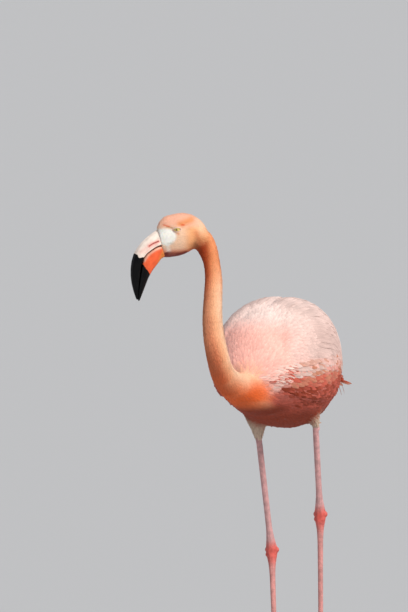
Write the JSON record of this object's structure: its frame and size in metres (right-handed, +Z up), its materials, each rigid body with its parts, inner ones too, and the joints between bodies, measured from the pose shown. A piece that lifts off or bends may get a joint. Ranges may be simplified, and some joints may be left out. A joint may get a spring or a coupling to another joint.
{
  "type": "flamingo",
  "caption": "Life-size still flamingo, wading: neck in an S, head turned to its right, folded wings, long bare legs and webbed feet.",
  "frame": {"origin": "on the floor, below the middle of the bounding box", "axes": "+Z up, -Y the way the breast faces, +X towards the bird's left"},
  "size_m": [0.2786, 0.6224, 0.8753],
  "materials": {
    "plumage": "soft feathers",
    "bill": "smooth horn, black tip",
    "eye": "wet gloss",
    "leg": "scaly skin",
    "claw": "satin horn"
  },
  "bodies": {
    "root": {"trunk": "plumage", "wing_left": "plumage", "wing_right": "plumage", "tail": "plumage", "neck_lower": "plumage", "neck_middle": "plumage", "neck_upper": "plumage", "head": "plumage", "thigh_right": "plumage", "thigh_left": "plumage", "eye_left": "eye", "eye_right": "eye", "bill_upper": "bill", "bill_lower": "bill", "shank_right": "leg", "shank_left": "leg", "tarsus_right": "leg", "tarsus_left": "leg", "foot_right": "leg", "foot_left": "leg", "claw_right_inner": "claw", "claw_right_middle": "claw", "claw_right_outer": "claw", "claw_right_hind": "claw", "claw_left_inner": "claw", "claw_left_middle": "claw", "claw_left_outer": "claw", "claw_left_hind": "claw"}
  },
  "joints": []
}
